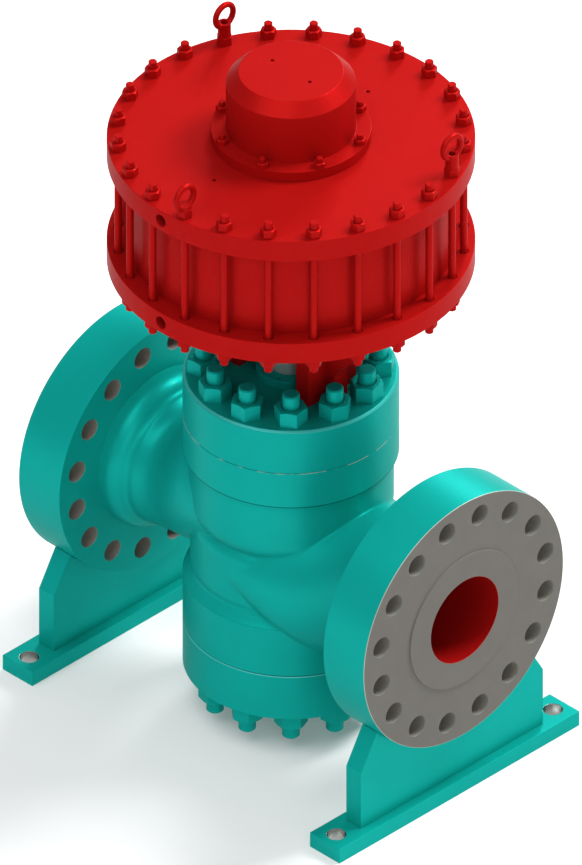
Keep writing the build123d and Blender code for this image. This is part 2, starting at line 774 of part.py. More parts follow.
def cap():
    """Flanged cap with a bevelled crown."""
    bevel = (cap_d - cap_top_d) / 2
    blank = rod(cap_d / 2, actuator_top_z, cap_top_z)
    blank = chamfer(blank.edges().group_by(Axis.Z)[-1], bevel)
    blank += rod(cap_flange_d / 2, actuator_top_z, actuator_top_z + cap_flange_thickness)
    inner = cap_d / 2 - cap_wall
    hollow = rod(inner, actuator_top_z - past, cap_top_z - cap_wall)
    blank -= chamfer(hollow.edges().group_by(Axis.Z)[-1], inner - spring_d / 2 - spring_clearance)
    for x in (-cap_hole_spacing / 2, cap_hole_spacing / 2):
        blank -= rod(cap_hole_d / 2, cap_top_z - cap_hole_depth, cap_top_z + past, x)
    flange_top_z = actuator_top_z + cap_flange_thickness
    for angle, x, y in on_circle(cap_bolt_circle, cap_bolt_count):
        blank -= rod(cap_stud_d / 2 + fit_gap, actuator_top_z - past, flange_top_z + past, x, y)
    return blank


def cap_studs():
    top = actuator_top_z + cap_flange_thickness + cap_stud_stand
    for angle, x, y in on_circle(cap_bolt_circle, cap_bolt_count):
        yield rod(cap_stud_d / 2, actuator_top_z - cap_stud_depth, top, x, y)


def cap_nuts():
    low = actuator_top_z + cap_flange_thickness
    for angle, x, y in on_circle(cap_bolt_circle, cap_bolt_count):
        nut = hexagon(cap_nut_flats, low, low + cap_nut_height, angle, x, y)
        yield nut - rod(cap_stud_d / 2 + thread_gap, low - past, low + cap_nut_height + past, x, y)


def return_spring():
    """Compression spring of square wire, with a flat ring for the ground coil at each end."""
    low, high = piston_top_z, cap_top_z - cap_wall
    mean = (spring_d - spring_wire) / 2
    coil_height = high - low - 2 * spring_end_height
    pitch = coil_height / spring_turns
    path = Helix(pitch, coil_height, mean, center=(0, 0, low + spring_end_height))
    section = Plane(origin=path @ 0, z_dir=path % 0) * Rectangle(spring_wire, spring_wire)
    coil = sweep(section, path, is_frenet=True)
    outer = spring_d / 2 + spring_end_proud
    inner = spring_d / 2 - spring_wire - spring_end_proud
    for start in (low, high - spring_end_height):
        coil += ring(outer, inner, start, start + spring_end_height)
    return coil


def foot_bar(side):
    """Bar on the ground with a fixing hole at each end."""
    bar = Pos(side * support_offset, 0, 0) * Box(foot_width, foot_length, foot_thickness, align=middle)
    for end in (-1, 1):
        place = (side * support_offset, end * foot_hole_spacing / 2)
        bar -= rod(foot_hole_d / 2, -past, foot_thickness + past, *place)
    return bar


def saddle_plate(side):
    """Upright plate that holds the flange's rim in a round saddle."""
    half = saddle_width / 2
    side_top = foot_thickness + saddle_side_height
    top_half = half - (axis_height - side_top) / tan(radians(saddle_slope))
    points = [(-half, foot_thickness), (half, foot_thickness), (half, side_top),
              (top_half, axis_height), (-top_half, axis_height), (-half, side_top)]
    plane = Plane(origin=(side * support_offset, 0, 0), x_dir=(0, 1, 0), z_dir=(1, 0, 0))
    plate = extrude(plane * make_face(Polyline(*points, close=True)), saddle_thickness / 2, both=True)
    reach = side * (support_offset - saddle_thickness)
    return plate - rod_x(flange_d / 2 + fit_gap, reach, reach + side * 2 * saddle_thickness)


def main():
    os.makedirs("parts", exist_ok=True)
    write("valve_body", valve_body())
    write("bonnet", bonnet())
    write("bottom_cover", bottom_cover())
    write("bonnet_gasket", gasket(body_top_z - closure_gasket_thickness))
    write("cover_gasket", gasket(body_bottom_z))
    write("bonnet_studs", *studs(body_top_z - closure_stud_depth, bonnet_top_z + bonnet_stud_stand))
    write("bonnet_nuts", *closure_nuts(bonnet_top_z, bonnet_nut_turn))
    write("cover_studs", *studs(cover_bottom_z - cover_stud_stand, body_bottom_z + closure_stud_depth))
    write("cover_nuts", *closure_nuts(cover_bottom_z - closure_nut_height, cover_nut_turn))
    write("seat_gasket", seat_gasket())
    write("seat_ring", seat_ring())
    write("cage", cage())
    write("cage_gasket", cage_gasket())
    write("plug", plug())
    write("plug_seal", plug_seal())
    write("plug_nut", plug_nut())
    write("valve_stem", valve_stem())
    write("stem_bush", stem_bush())
    write("packing_rings", *packing_rings())
    write("gland_ring", gland_ring())
    write("gland_screws", *gland_screws())
    write("yoke_leg_inlet", yoke_leg(-1))
    write("yoke_leg_outlet", yoke_leg(1))
    write("coupling_front", coupling_half(-1))
    write("coupling_rear", coupling_half(1))
    write("coupling_screws", *coupling_screws())
    write("actuator_rod", actuator_rod())
    write("actuator_bottom_plate", actuator_bottom_plate())
    write("rod_bush", rod_bush())
    write("rod_seal", rod_seal())
    write("cylinder", cylinder())
    write("cylinder_seal_lower", cylinder_seal(lower_seal_z))
    write("cylinder_seal_upper", cylinder_seal(upper_seal_z))
    write("actuator_top_plate", actuator_top_plate())
    write("tie_rods", *tie_rods())
    write("upper_tie_nuts", *upper_tie_nuts())
    write("lower_tie_nuts", *lower_tie_nuts())
    write("lifting_eye_right", lifting_eye(1))
    write("lifting_eye_rear", lifting_eye(10))
    write("lifting_eye_front", lifting_eye(18))
    write("piston", piston())
    write("piston_seal", piston_rim_ring(piston_z + piston_seal_rise, piston_seal_height))
    write("piston_guide_ring", piston_rim_ring(piston_z + piston_ring_rise, piston_ring_height))
    write("piston_nut", piston_nut())
    write("cap", cap())
    write("cap_studs", *cap_studs())
    write("cap_nuts", *cap_nuts())
    write("return_spring", return_spring())
    for name, side in (("inlet", -1), ("outlet", 1)):
        write(f"{name}_foot_bar", foot_bar(side))
        write(f"{name}_saddle", saddle_plate(side))


main()
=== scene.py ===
# %% [markdown]
# # A shut-off valve with a piston actuator
#
# The valve stands on two supports. A cast body carries two line flanges, a bolted bonnet and a bolted cover.
# Above it, a yoke holds a wide, flat air cylinder that lifts the stem against a spring. The construction
# comes ready at its real size, so this lesson is about the finish: broken edges, turned fasteners, paint and
# steel. Work in this order: the frame, the camera and the light, then the pieces, then the finishes.

# %% The frame
import bpy
import json
from math import atan, cos, pi, radians, sin, sqrt
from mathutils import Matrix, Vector

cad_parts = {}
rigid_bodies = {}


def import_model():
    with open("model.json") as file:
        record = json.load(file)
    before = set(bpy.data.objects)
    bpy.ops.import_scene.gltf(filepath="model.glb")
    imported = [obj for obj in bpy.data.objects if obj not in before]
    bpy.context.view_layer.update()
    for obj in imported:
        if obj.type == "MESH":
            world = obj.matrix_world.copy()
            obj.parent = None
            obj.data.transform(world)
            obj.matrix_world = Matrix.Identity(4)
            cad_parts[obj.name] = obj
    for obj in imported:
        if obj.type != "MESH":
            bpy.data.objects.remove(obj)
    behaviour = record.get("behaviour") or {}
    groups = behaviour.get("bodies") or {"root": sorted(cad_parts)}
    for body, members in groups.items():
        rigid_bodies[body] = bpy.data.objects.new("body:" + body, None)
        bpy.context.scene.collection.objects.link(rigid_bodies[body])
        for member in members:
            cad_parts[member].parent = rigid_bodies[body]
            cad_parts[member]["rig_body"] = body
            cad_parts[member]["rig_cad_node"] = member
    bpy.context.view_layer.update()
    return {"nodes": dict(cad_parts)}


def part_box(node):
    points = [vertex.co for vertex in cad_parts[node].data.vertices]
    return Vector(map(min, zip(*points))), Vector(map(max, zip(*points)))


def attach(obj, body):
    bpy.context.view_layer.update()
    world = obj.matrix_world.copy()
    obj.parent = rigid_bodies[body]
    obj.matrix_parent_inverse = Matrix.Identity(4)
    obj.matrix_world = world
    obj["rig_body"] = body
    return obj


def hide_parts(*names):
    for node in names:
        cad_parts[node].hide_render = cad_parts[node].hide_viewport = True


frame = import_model()
nodes = frame["nodes"]
bpy.ops.object.select_all(action="DESELECT")
print("nodes in the frame:", len(nodes))

# %% [markdown]
# ## Camera
# The picture is an isometric view: parallel edges of the valve stay parallel, so the camera is orthographic.
# It looks down at the angle at which X, Y and Z are all shortened alike. A perspective lens would make the
# near flange larger than the far one, which the picture does not show.

# %% Camera at the isometric angle
picture_height = 1.6104
aim = Vector((0.0, 0.0, 0.6036))
camera_distance = 6.0
azimuth = radians(45)
elevation = atan(1 / sqrt(2))
back = Vector((sin(azimuth) * cos(elevation), -cos(azimuth) * cos(elevation), sin(elevation)))

bpy.ops.object.camera_add(location=aim + camera_distance * back)
camera = bpy.context.active_object
camera.rotation_euler = (-back).to_track_quat("-Z", "Y").to_euler()
camera.data.type = "ORTHO"
camera.data.ortho_scale = picture_height
bpy.context.scene.camera = camera
bpy.context.scene.view_settings.view_transform = "Standard"

# %% [markdown]
# ## Floor and light
# The picture has a white ground and no shadow, so the light comes from four soft boxes, an even pale sky and
# their return from a plain pale floor. The key box stands high on the right, a little behind the valve, and
# draws the bright bands on the rounds. One behind the valve lights the rims, and a wide one above the front
# and a weak fill keep the near side from going dull. Small lamps would draw hard shadows under the actuator.

# %% Floor, soft boxes and sky
floor_size = 60.0
sky_colour = (0.97, 0.98, 1.0, 1.0)
sky_strength = 0.40

bpy.ops.mesh.primitive_plane_add(size=floor_size, location=(0, 0, 0))
floor = bpy.context.active_object
floor.name = "floor"


def soft_box(name, place, size, power):
    """Square lamp that looks at the valve."""
    bpy.ops.object.light_add(type="AREA", location=place)
    lamp = bpy.context.active_object
    lamp.name = name
    lamp.rotation_euler = (aim - place).to_track_quat("-Z", "Y").to_euler()
    lamp.data.size = size
    lamp.data.energy = power


soft_box("key_light", Vector((2.8, 6.6, 9.6)), 4.0, 1350.0)
soft_box("back_light", Vector((-4.4, 9.0, 6.4)), 3.5, 620.0)
soft_box("front_light", Vector((0.5, -5.0, 10.5)), 9.0, 680.0)
soft_box("fill_light", Vector((9.5, -6.5, 5.5)), 7.0, 280.0)
world = bpy.data.worlds.new("studio")
world.use_nodes = True
world.node_tree.nodes["Background"].inputs["Color"].default_value = sky_colour
world.node_tree.nodes["Background"].inputs["Strength"].default_value = sky_strength
bpy.context.scene.world = world

# %% [markdown]
# ## Working by hand
# An operator acts on whatever is selected, so every step starts from an empty selection. These helpers do
# what a hand does in the window: select one piece, enter its mesh, leave it, and apply a modifier.

# %% Helpers for selecting and editing
def only(piece):
    """Selects one object alone and makes it active."""
    bpy.ops.object.select_all(action="DESELECT")
    piece.select_set(True)
    bpy.context.view_layer.objects.active = piece


def edit(piece):
    """Enters a piece's mesh with all of it selected."""
    only(piece)
    bpy.ops.object.mode_set(mode="EDIT")
    bpy.ops.mesh.select_mode(type="VERT")
    bpy.ops.mesh.select_all(action="SELECT")


def leave():
    """Leaves the mesh."""
    bpy.ops.object.mode_set(mode="OBJECT")


def modify(piece, kind, **settings):
    """Adds a modifier, sets it and applies it."""
    only(piece)
    modifier = piece.modifiers.new(kind.lower(), kind)
    for name, value in settings.items():
        setattr(modifier, name, value)
    bpy.ops.object.modifier_apply(modifier=modifier.name)


def settle(piece, name, body, *replaced):
    """Puts a piece's place into its mesh, names it and hands it to its body."""
    only(piece)
    bpy.ops.object.transform_apply(location=True, rotation=True, scale=True)
    piece.name = name
    piece.data.name = name
    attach(piece, body)
    if replaced:
        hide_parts(*replaced)
    return piece


smooth_angle = radians(32)


def shade(piece):
    """Smooth shading on rounds, with flat faces kept flat beside their broken edges."""
    only(piece)
    bpy.ops.object.shade_smooth_by_angle(angle=smooth_angle)
    modify(piece, "WEIGHTED_NORMAL", mode="FACE_AREA_WITH_ANGLE", keep_sharp=True)


# %% [markdown]
# ## Broken edges
# No real edge is a knife edge: a file or the paint rounds it by about a millimetre, and that thin round is
# what catches the light. The frame's meshes are loose triangles with sharp edges. A copy is merged first, its
# flat faces are made whole, and then a bevel that acts only above an angle breaks every edge. Modelling these
# large plates and castings again would only risk losing a hole.

# %% A dressed copy of a frame piece
merge_distance = 0.00002
flat_angle = radians(0.6)
edge_angle = radians(28)
edge_segments = 2


def dressed(node, name, edge_round):
    """Copy of a frame piece with merged corners, whole flat faces and broken edges."""
    source = nodes[node]
    only(source)
    bpy.ops.object.duplicate()
    piece = bpy.context.active_object
    del piece["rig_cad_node"]
    bpy.ops.mesh.customdata_custom_splitnormals_clear()
    edit(piece)
    bpy.ops.mesh.remove_doubles(threshold=merge_distance)
    bpy.ops.mesh.dissolve_limited(angle_limit=flat_angle)
    leave()
    modify(piece, "BEVEL", width=edge_round, segments=edge_segments, limit_method="ANGLE",
           angle_limit=edge_angle, use_clamp_overlap=False, miter_outer="MITER_SHARP")
    shade(piece)
    settle(piece, name, source["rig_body"], node)
    print(name, "faces:", len(piece.data.polygons))
    return piece


# %% [markdown]
# ## The body, the closures and the large plates
# Each piece gets the edge of its own making: widest on the cut plates of the yoke and the actuator, finest on
# the small screws.

# %% Castings and plates with broken edges
pieces = {}
for node, name, edge_round in (
    ("valve_body", "cast_body", 0.0011),
    ("bonnet", "bonnet_flange", 0.0010),
    ("bottom_cover", "cover_flange", 0.0010),
    ("gland_ring", "gland_follower", 0.0006),
    ("gland_screws", "gland_socket_screws", 0.0003),
    ("yoke_leg_inlet", "yoke_inlet", 0.0015),
    ("yoke_leg_outlet", "yoke_outlet", 0.0015),
    ("coupling_front", "coupling_half_front", 0.0010),
    ("coupling_rear", "coupling_half_rear", 0.0010),
    ("coupling_screws", "coupling_clamp_screws", 0.0004),
    ("actuator_bottom_plate", "lower_end_plate", 0.0014),
    ("actuator_top_plate", "upper_end_plate", 0.0014),
    ("cylinder", "cylinder_tube", 0.0010),
    ("cap", "spring_cap", 0.0010),
    ("inlet_foot_bar", "foot_inlet", 0.0012),
    ("outlet_foot_bar", "foot_outlet", 0.0012),
    ("inlet_saddle", "saddle_inlet", 0.0012),
    ("outlet_saddle", "saddle_outlet", 0.0012),
    ("lifting_eye_right", "eye_right", 0.0007),
    ("lifting_eye_rear", "eye_rear", 0.0007),
    ("lifting_eye_front", "eye_front", 0.0007),
):
    pieces[name] = dressed(node, name, edge_round)

# %% [markdown]
# ## Turned work
# Studs, rods and nuts come off a lathe, and Blender's lathe is Spin: half of the section is drawn point by
# point, then swept once round the axis. A cylinder with a bevel would do for a stud's end, but not for a
# nut's bore with its countersinks, and one way serves both.

# %% The lathe
first_point_size = 0.001
half_step = 0.5


def lathe(name, section, segments, closed=False):
    """Spins a half section, given as (radius, height) points, round the Z axis."""
    bpy.ops.mesh.primitive_plane_add(size=first_point_size, location=(0, 0, 0))
    piece = bpy.context.active_object
    piece.name = name
    edit(piece)
    bpy.ops.mesh.merge(type="CENTER")
    radius, height = section[0]
    bpy.ops.transform.translate(value=(radius, 0, height))
    path = list(section) + ([section[0]] if closed else [])
    for (r0, z0), (r1, z1) in zip(path, path[1:]):
        bpy.ops.mesh.extrude_region_move(TRANSFORM_OT_translate={"value": (r1 - r0, 0, z1 - z0)})
    bpy.ops.mesh.select_all(action="SELECT")
    bpy.ops.mesh.spin(steps=segments, angle=2 * pi, center=(0, 0, 0), axis=(0, 0, 1))
    bpy.ops.mesh.select_all(action="SELECT")
    bpy.ops.mesh.remove_doubles(threshold=merge_distance)
    bpy.ops.mesh.normals_make_consistent(inside=False)
    leave()
    return piece


def repeat(piece, count, skip=()):
    """Copies a piece that stands on +X round the Z axis. The first copy stands half a step from +X."""
    copies = []
    for i in range(count):
        if i in skip:
            continue
        only(piece)
        bpy.ops.object.duplicate()
        copy = bpy.context.active_object
        copy.rotation_euler.z = 2 * pi * (i + half_step) / count
        copies.append(copy)
    bpy.data.objects.remove(piece)
    bpy.ops.object.select_all(action="DESELECT")
    for copy in copies:
        copy.select_set(True)
    bpy.context.view_layer.objects.active = copies[0]
    bpy.ops.object.transform_apply(location=True, rotation=True, scale=True)
    bpy.ops.object.join()
    return bpy.context.active_object


def shift(piece, x=0.0, turn=0.0):
    """Turns a piece about its own axis, then moves it along X, and keeps both in its mesh."""
    only(piece)
    piece.rotation_euler.z = turn
    piece.location = (x, 0, 0)
    bpy.ops.object.transform_apply(location=True, rotation=True, scale=True)
    return piece


# %% [markdown]
# ## The shoulder above the lower flange
# The lower bowl stands on its flange with a sloping shoulder, as a casting seldom has a sharp groove. The
# shoulder is a ring with a conical outside that is turned here and joined to the casting. It could also be a
# bevel in the corner, but the shoulder is far wider than the faces beside that corner.

# %% A turned shoulder
shoulder_segments = 128
shoulder_low, shoulder_high = 0.2925, 0.3185
shoulder_foot_radius, shoulder_top_radius, shoulder_inner_radius = 0.2008, 0.1815, 0.1540

shoulder_section = [
    (shoulder_inner_radius, shoulder_low), (shoulder_foot_radius, shoulder_low),
    (shoulder_top_radius, shoulder_high), (shoulder_inner_radius, shoulder_high),
]
shoulder = lathe("shoulder", shoulder_section, shoulder_segments, closed=True)
shade(shoulder)
only(pieces["cast_body"])
shoulder.select_set(True)
bpy.ops.object.join()

# %% [markdown]
# ## Nuts
# A hexagon nut is a hexagonal bar that was turned to a cone at its end, which leaves curved arcs on its
# flats. It is made here the same way: a lathe blank with a cone and a bore, cut by a hexagonal prism. A bevel
# along the top edge would give straight corners instead of the arcs.

# %% A nut and a stud
turned_segments = 48
thread_play = 0.0004
countersink_share = 0.07
nut_edge_round = 0.0004
prism_overlength = 3


def hex_nut(flats, bore, low, high, face_share, slope, upward):
    """Hexagon nut on the Z axis, with a flat towards +X and its cone on top, or below where upward is False.

    face_share is the radius of the flat end face, as a share of half the flats, and slope the cone's fall.
    """
    corner = flats / sqrt(3)
    face = flats / 2 * face_share
    sink = bore * countersink_share
    drop = (corner - face) * slope
    outer = corner + thread_play
    section = [
        (bore / 2, low + sink), (bore / 2 + sink, low), (outer, low),
        (outer, high - drop), (face, high), (bore / 2 + sink, high), (bore / 2, high - sink),
    ]
    if not upward:
        section = [(radius, low + high - height) for radius, height in section]
    blank = lathe("nut", section, turned_segments, closed=True)
    bpy.ops.mesh.primitive_cylinder_add(vertices=6, radius=corner, depth=prism_overlength * (high - low),
                                        location=(0, 0, (low + high) / 2))
    prism = bpy.context.active_object
    modify(blank, "BOOLEAN", operation="INTERSECT", object=prism, solver="EXACT")
    bpy.data.objects.remove(prism)
    modify(blank, "BEVEL", width=nut_edge_round, segments=1, limit_method="ANGLE", angle_limit=edge_angle,
           use_clamp_overlap=False)
    return blank


def bar(*steps, end_chamfer=0.001):
    """Round bar on the Z axis with chamfered ends. Each step is a diameter and the height where it ends."""
    low = steps[0][1]
    section = [(0, low), (steps[1][0] / 2 - end_chamfer, low), (steps[1][0] / 2, low + end_chamfer)]
    for (width, height), (following, _) in zip(steps[1:], steps[2:]):
        section += [(width / 2, height), (following / 2, height)]
    width, high = steps[-1]
    section += [(width / 2, high - end_chamfer), (width / 2 - end_chamfer, high), (0, high)]
    return lathe("bar", section, turned_segments)


def heights(node):
    """Lowest and highest height of a frame piece."""
    return tuple(corner.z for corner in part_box(node))


def ring_of(piece, name, circle, count, node, turn=0.0, skip=()):
    """Turns one fastener, sets it on its bolt circle, repeats it, shades it and hands it over."""
    shift(piece, turn=turn)
    shift(piece, x=circle / 2)
    piece = repeat(piece, count, skip)
    shade(piece)
    pieces[name] = settle(piece, name, "valve", node)
    print(name, "faces:", len(piece.data.polygons))


# %% Studs and nuts of the bonnet and the cover
closure_circle = 0.326
closure_count = 12
stud_d = 0.033
closure_flats = 0.055
closure_face, closure_slope = 0.97, 0.58
stud_chamfer = 0.0026
bonnet_nut_turn, cover_nut_turn = radians(50.4), radians(4.5)

for closure, turn, upward in (("bonnet", bonnet_nut_turn, True), ("cover", cover_nut_turn, False)):
    studs, nuts = f"{closure}_studs", f"{closure}_nuts"
    low, high = heights(studs)
    stud = bar((0, low), (stud_d, high), end_chamfer=stud_chamfer)
    ring_of(stud, f"{closure}_stud_ring", closure_circle, closure_count, studs)
    nut = hex_nut(closure_flats, stud_d + thread_play, *heights(nuts), closure_face, closure_slope, upward)
    ring_of(nut, f"{closure}_nut_ring", closure_circle, closure_count, nuts, turn)

# %% [markdown]
# ## Tie rods
# 24 rods hold the two end plates together. Between the plates they are a little thinner than at their
# threads. Three of them carry a lifting eye in place of the upper nut, so these end lower.

# %% Tie rods and their nuts
tie_circle = 0.649
tie_count = 24
tie_d = 0.016
tie_shank_d = 0.0142
tie_flats = 0.027
tie_turn = radians(7.5)
tie_face, tie_slope = 0.90, 0.80
eye_places = (1, 10, 18)
rod_chamfer, eye_rod_chamfer = 0.0013, 0.0010
eye_rod_gap = 0.0002

low, high = heights("tie_rods")
eye_rod_top = heights("upper_tie_nuts")[1] - eye_rod_gap
shank_low, shank_high = heights("cylinder")
rods = []
for top, chamfer, skip in (
    (high, rod_chamfer, eye_places),
    (eye_rod_top, eye_rod_chamfer, [i for i in range(tie_count) if i not in eye_places]),
):
    rod = bar((0, low), (tie_d, shank_low), (tie_shank_d, shank_high), (tie_d, top), end_chamfer=chamfer)
    rods.append(repeat(shift(rod, x=tie_circle / 2), tie_count, skip))
only(rods[0])
rods[1].select_set(True)
bpy.ops.object.join()
shade(rods[0])
pieces["tie_rod_ring"] = settle(rods[0], "tie_rod_ring", "valve", "tie_rods")

for end, skip in (("upper", eye_places), ("lower", ())):
    nuts = f"{end}_tie_nuts"
    nut = hex_nut(tie_flats, tie_d + thread_play, *heights(nuts), tie_face, tie_slope, end == "upper")
    ring_of(nut, f"{end}_nut_ring", tie_circle, tie_count, nuts, tie_turn, skip)

# %% Studs and nuts of the cap
cap_circle = 0.278
cap_count = 8
cap_stud_d = 0.012
cap_flats = 0.021

low, high = heights("cap_studs")
ring_of(bar((0, low), (cap_stud_d, high)), "cap_stud_ring", cap_circle, cap_count, "cap_studs")
nut = hex_nut(cap_flats, cap_stud_d + thread_play, *heights("cap_nuts"), tie_face, tie_slope, True)
ring_of(nut, "cap_nut_ring", cap_circle, cap_count, "cap_nuts")

# %% [markdown]
# ## Finishes
# A shader is a sum. This small class lets a node's output be used like a number, so that a formula such as
# 1 - mask * 0.5 adds its own Math nodes. Writing every node and link out would hide the formula.

# %% A value that knows arithmetic
class Value:
    """One output of a node. Arithmetic on it adds Math nodes."""

    def __init__(self, finish, socket):
        self.finish = finish
        self.socket = socket

    def __add__(self, other):
        return self.finish.math("ADD", self, other)

    def __sub__(self, other):
        return self.finish.math("SUBTRACT", self, other)

    def __rsub__(self, other):
        return self.finish.math("SUBTRACT", other, self)

    def __mul__(self, other):
        return self.finish.math("MULTIPLY", self, other)

    def __truediv__(self, other):
        return self.finish.math("DIVIDE", self, other)

    def __abs__(self):
        return self.finish.math("ABSOLUTE", self)

    __radd__ = __add__
    __rmul__ = __mul__

    def above(self, level, blur):
        """0 below the level and 1 above it, with a soft step as wide as blur."""
        return self.finish.node(
            "ShaderNodeMapRange", {"interpolation_type": "SMOOTHSTEP"},
            {"Value": self, "From Min": level - blur / 2, "From Max": level + blur / 2},
        )

    def below(self, level, blur):
        return 1 - self.above(level, blur)

    def within(self, low, high, blur):
        return self.above(low, blur) * self.below(high, blur)


class Finish:
    """A material with its principled shader. Each constant is one of the shader's own sockets."""

    def __init__(self, name, constants):
        self.material = bpy.data.materials.new(name)
        self.material.use_nodes = True
        self.tree = self.material.node_tree
        self.shader = self.tree.nodes["Principled BSDF"]
        for socket, value in constants.items():
            self.set(socket, value)

    def node(self, kind, settings, inputs, output=0):
        """Adds a node: its settings first, then the values or links of its sockets."""
        made = self.tree.nodes.new(kind)
        for key, value in settings.items():
            setattr(made, key, value)
        for key, value in inputs.items():
            self.feed(made.inputs[key], value)
        return Value(self, made.outputs[output])

    def feed(self, socket, value):
        if isinstance(value, Value):
            self.tree.links.new(value.socket, socket)
        else:
            socket.default_value = value

    def set(self, name, value):
        self.feed(self.shader.inputs[name], value)

    def math(self, operation, *inputs):
        return self.node("ShaderNodeMath", {"operation": operation}, dict(enumerate(inputs)))

    def length(self, a, b):
        """Length of a line with the sides a and b."""
        return self.math("SQRT", a * a + b * b)

    def place(self):
        """Object coordinates, as a vector and as X, Y and Z."""
        vector = self.node("ShaderNodeTexCoord", {}, {}, "Object")
        return vector, *(self.node("ShaderNodeSeparateXYZ", {}, {0: vector}, axis) for axis in "XYZ")

    def noise(self, vector, scale, detail):
        return self.node("ShaderNodeTexNoise", {}, {"Vector": vector, "Scale": scale, "Detail": detail})

    def mix(self, share, first, second, kind="RGBA"):
        """Blends two colours, or two vectors, each given or linked."""
        first_socket, second_socket, output = {"RGBA": (6, 7, 2), "VECTOR": (4, 5, 1)}[kind]
        inputs = {0: share, first_socket: first, second_socket: second}
        return self.node("ShaderNodeMix", {"data_type": kind}, inputs, output)

    def bump(self, height, distance, strength, **below):
        inputs = {"Height": height, "Distance": distance, "Strength": strength, **below}
        self.set("Normal", self.node("ShaderNodeBump", {}, inputs))


def wear(finish, slot, *names):
    """Gives a finish to pieces, in place of any material they had. The slot is not used."""
    for name in names:
        piece = pieces.get(name) or nodes[name]
        piece.data.materials.clear()
        piece.data.materials.append(finish.material)
        name in pieces


# %% [markdown]
# ## Paint
# The valve is painted with a thick coat that has metal flakes in it: its bright bands keep the paint's
# colour, and single flakes flash where the light glances off a round. The colour and the gloss drift a little
# over a large casting, and the coat has a fine grain like orange peel. Four patterns at four scales do that,
# over a base that is a third metallic. One flat colour would look like plastic.

# %% A coat of paint
drift_scale = 6.0
grain_scale = 420.0
flake_scale = 650.0
flake_level = 0.72
flake_blur = 0.05
flake_share = 0.33
flake_weight = 0.3
coat_roughness = 0.16
paint_specular = 0.03
paint_roughness, roughness_drift, roughness_scale = 0.37, 0.05, 45.0
grain_height, grain_strength = 0.00010, 0.5
teal = ((0.0040, 0.330, 0.288, 1), (0.0046, 0.360, 0.315, 1))
red = ((0.355, 0.0056, 0.0050, 1), (0.380, 0.0064, 0.0058, 1))
steel = (0.62, 0.62, 0.60, 1)
# pale bare metal, used as a painted highlight on the flange rims' chamfers and on the body's top edge
bare_and_highlight = (0.60, 0.56, 0.49, 1)
shadow_line = (0.0010, 0.050, 0.046, 1)


def painted(name, colours):
    """A paint, with the parts of its shader that a piece may still mix with others."""
    finish = Finish(name, {"Metallic": flake_share, "Specular IOR Level": paint_specular,
                           "Specular Tint": colours[1], "Coat Roughness": coat_roughness})
    vector, x, y, z = finish.place()
    base = finish.mix(finish.noise(vector, drift_scale, 3.0).above(0.5, 0.6), *colours)
    rough = paint_roughness + roughness_drift * finish.noise(vector, roughness_scale, 3.0)
    flakes = finish.noise(vector, flake_scale, 0.0).above(flake_level, flake_blur)
    finish.set("Base Color", base)
    finish.set("Roughness", rough)
    finish.set("Coat Weight", flake_weight * flakes)
    grain = finish.noise(vector, grain_scale, 2.0)
    finish.bump(grain, grain_height, grain_strength)
    return finish, vector, (x, y, z), base, rough, grain


teal_paint = painted("teal_paint", teal)[0]
red_paint = painted("red_paint", red)[0]
wear(teal_paint, "teal_paint", "gland_follower", "gland_socket_screws", "bonnet_stud_ring",
     "bonnet_nut_ring", "cover_stud_ring", "cover_nut_ring", "saddle_inlet", "saddle_outlet")
wear(red_paint, "red_paint", "yoke_inlet", "yoke_outlet", "lower_end_plate", "upper_end_plate",
     "cylinder_tube", "spring_cap", "tie_rod_ring", "upper_nut_ring", "lower_nut_ring", "cap_stud_ring",
     "cap_nut_ring", "eye_right", "eye_rear", "eye_front")

# %% [markdown]
# ## The body's own finish
# Four finishes meet on the casting: paint outside, a bare grey face on each flange, bare bolt holes, and a
# red coat in the waterways. They follow the form, so each is a mask of the height, of the distance along the
# pipe, or of the distance from the pipe's or the stem's axis. Sand casting leaves a wide round in the valleys
# between the flares and the bowls. The shader alone rounds them here, because a bevel in the mesh would be
# wider than the small faces beside them. Its price is that the outline there stays sharp.

# %% Sizes of the casting that the masks follow
axis_height = 0.405
flange_front = 0.4545
flange_radius = 0.2625
bore_radius = 0.0885
bolt_circle_radius = 0.220
bolt_hole_radius = 0.021
bolt_step = 2 * pi / 16
chamber_radius = 0.152
closure_radius = 0.202
body_top, body_bottom, top_flange_low = 0.651, 0.189, 0.573
passage_half_width, passage_half_height = 0.122, 0.106
passage_end, bore_start = 0.30, 0.285
inlet_slope, inlet_bend = 0.49, 0.254
outlet_slope, outlet_bend = 0.20, 0.29
valley_round = 0.009

# %% Where each finish ends, and how softly
crisp, narrow, gentle, wide = 0.0003, 0.0004, 0.0006, 0.001
oval_blur = 0.01
lining_radius = bore_radius + 0.0006
chamber_lining_radius = chamber_radius + 0.001
hole_wall_radius = bolt_hole_radius + 0.0004
hole_back, hole_front = 0.3470, flange_front - 0.0003
face_start = flange_front - 0.0004
rim_start, rim_radius = flange_front - 0.0012, flange_radius - 0.0010
rim_highlight_share, top_highlight_share = 0.6, 0.45
closure_edge_radius, closure_reach = closure_radius - 0.0016, 0.22
top_highlight_start = body_top - 0.0010
# bands of painted shadow: under the edge of the body's top flange, and along its bottom edge
overhang_shadow_low, overhang_shadow_high = top_flange_low - 0.0005, top_flange_low + 0.0020
bottom_shadow_end = body_bottom + 0.0016
dash_scale, dash_level, dash_blur = 30.0, 0.47, 0.10
cast_reach, cast_reach_blur = 0.325, 0.02
cast_low, cast_high, cast_blur = 0.294, 0.566, 0.006


def dashed(finish, vector):
    """Pattern that breaks a painted highlight line on a joint into dashes."""
    return finish.noise(vector, dash_scale, 1.0).above(dash_level, dash_blur)


# %% Masks on the casting
body_paint, vector, (x, y, z), base, rough, grain = painted("body_paint", teal)
side = abs(x)
height = z - axis_height
pipe = body_paint.length(y, height)
stem = body_paint.length(x, y)

